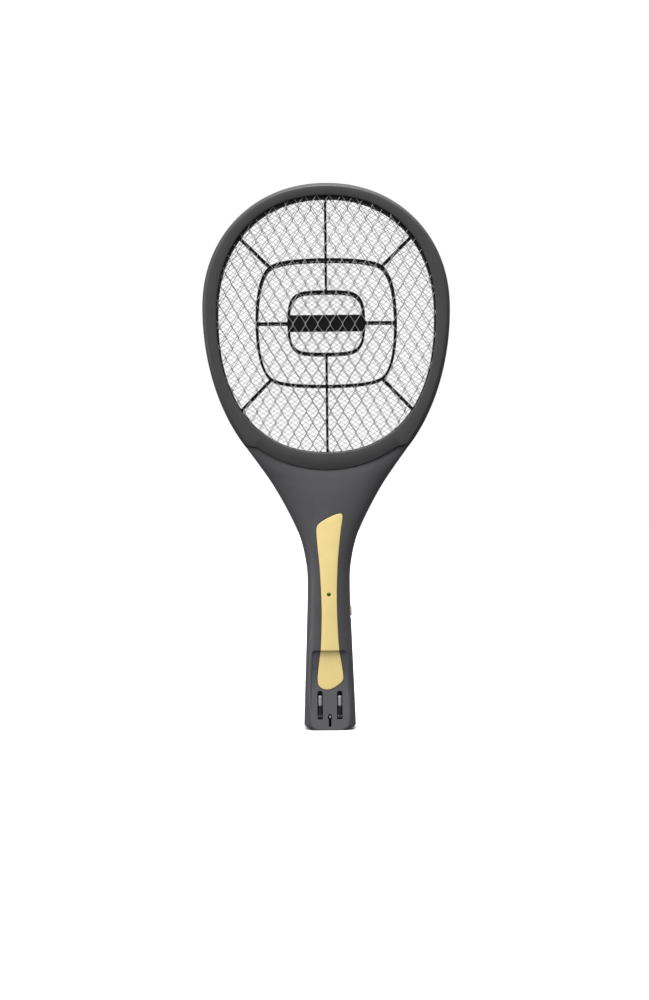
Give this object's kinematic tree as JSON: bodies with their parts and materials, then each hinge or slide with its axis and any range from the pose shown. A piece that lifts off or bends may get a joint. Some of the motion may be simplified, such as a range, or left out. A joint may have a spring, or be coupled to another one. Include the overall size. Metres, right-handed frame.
{
  "type": "electric fly swatter",
  "caption": "Racket-shaped rechargeable insect bat with a layered wire grid head, a hollow grip with a side push button and a fold-out mains plug in its end.",
  "frame": {"origin": "centre of the flat end of the handle, which is the bottom centre of the whole bat", "axes": "+Z along the bat from the handle end to the top of the head, +X to the right seen from the front, front faces -Y; the casing halves meet in the plane y = 0"},
  "size_m": [0.2358, 0.037, 0.52],
  "materials": {
    "head_ring": "fine satin, dark grey",
    "handle_shell": "satin, mid-dark grey",
    "black_frame": "satin black",
    "yellow_inlay": "soft gloss pale yellow",
    "grid_wire": "bright drawn wire",
    "pin_metal": "nickel plated",
    "screw_steel": "zinc plated",
    "plug_plastic": "satin dark grey",
    "contact_brass": "plain brass",
    "board": "green laminate",
    "ferrite": "sintered, dull",
    "copper_winding": "enamelled copper",
    "capacitor_film": "dipped, glossy",
    "component_black": "moulded epoxy",
    "lamp_lens": "clear green, unlit",
    "battery_wrap": "metal can in a green sleeve",
    "lead_insulation": "smooth insulation"
  },
  "bodies": {
    "casing": {"front_ring": "head_ring", "rear_ring": "head_ring", "front_support_frame": "black_frame", "rear_support_frame": "black_frame", "front_grid": "grid_wire", "middle_grid": "grid_wire", "rear_grid": "grid_wire", "front_shell": "handle_shell", "rear_shell": "handle_shell", "inlay_strip": "yellow_inlay", "contact_spring_left": "contact_brass", "contact_spring_right": "contact_brass", "switch_body": "black_frame", "button_spring": "screw_steel", "battery_strap": "screw_steel", "circuit_board": "board", "transformer_core": "ferrite", "transformer_winding": "copper_winding", "storage_capacitor": "capacitor_film", "charging_capacitor": "capacitor_film", "power_transistor": "component_black", "bleed_resistor": "component_black", "indicator_led": "lamp_lens", "battery_cell_left": "battery_wrap", "battery_cell_right": "battery_wrap", "rectifier_diode_1": "component_black", "rectifier_diode_2": "component_black", "rectifier_diode_3": "component_black", "ring_screw_1": "screw_steel", "ring_screw_2": "screw_steel", "ring_screw_3": "screw_steel", "ring_screw_4": "screw_steel", "ring_screw_5": "screw_steel", "handle_screw_1": "screw_steel", "handle_screw_2": "screw_steel", "handle_screw_3": "screw_steel", "handle_screw_4": "screw_steel", "grid_lead_front": "lead_insulation", "grid_lead_middle": "lead_insulation", "grid_lead_rear": "lead_insulation", "battery_lead_left": "lead_insulation", "battery_lead_right": "lead_insulation", "plug_lead_left": "lead_insulation", "plug_lead_right": "lead_insulation"},
    "plug": {"plug_axle": "pin_metal", "plug_arm_left": "plug_plastic", "plug_arm_right": "plug_plastic", "plug_pin_left": "pin_metal", "plug_pin_right": "pin_metal"},
    "button": {"push_button": "yellow_inlay", "switch_plunger": "black_frame"}
  },
  "joints": [
    {"name": "plug_fold", "type": "hinge", "parent": "casing", "child": "plug", "pos_m": [0, -0.0128, 0.0126], "axis": [1, 0, 0], "range_deg": [0, 90]},
    {"name": "button_press", "type": "slide", "parent": "casing", "child": "button", "axis": [-1, 0, 0], "range_m": [0, 0.0015], "stiffness_N_per_m": 800, "springref_m": -0.001}
  ]
}
